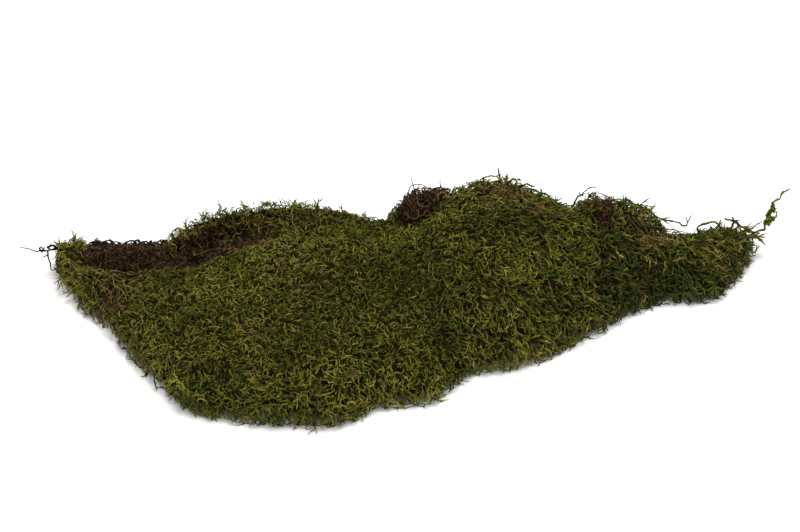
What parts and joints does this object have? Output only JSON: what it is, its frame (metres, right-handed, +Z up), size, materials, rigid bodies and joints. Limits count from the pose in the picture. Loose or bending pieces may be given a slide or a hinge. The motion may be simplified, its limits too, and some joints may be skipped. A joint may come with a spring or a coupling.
{
  "type": "moss clump",
  "caption": "Long torn sheet of green moss on a flat mat of dark humus, humped in the middle and thin at its tips, with an open tear along its back and loose stems.",
  "frame": {"origin": "middle of the clump's bounding box, on the surface it rests on", "axes": "+X along the clump towards its thin right tip with the long stem, +Y towards the torn back rim, +Z up"},
  "size_m": [0.3864, 0.1576, 0.0511],
  "materials": {
    "humus": "matt crumbly humus",
    "moss": "matt green moss shoots",
    "dry_moss": "matt yellow-brown moss shoots",
    "root_clod": "matt matted rootlets",
    "stem": "dull leafy stem",
    "rootlet": "dull dark rootlet"
  },
  "bodies": {
    "root": {"humus_mat": "humus", "moss_carpet": "moss", "left_tip_tuft": "dry_moss", "back_rim_moss": "moss", "shoulder_tuft": "dry_moss", "middle_root_clod": "root_clod", "right_root_clod": "root_clod", "long_stem": "stem", "forked_stem": "stem", "arched_stem": "stem", "hooked_stem": "stem", "tail_stem": "stem", "crest_stem": "stem", "left_rootlet": "rootlet", "clod_rootlet": "rootlet"}
  },
  "joints": []
}
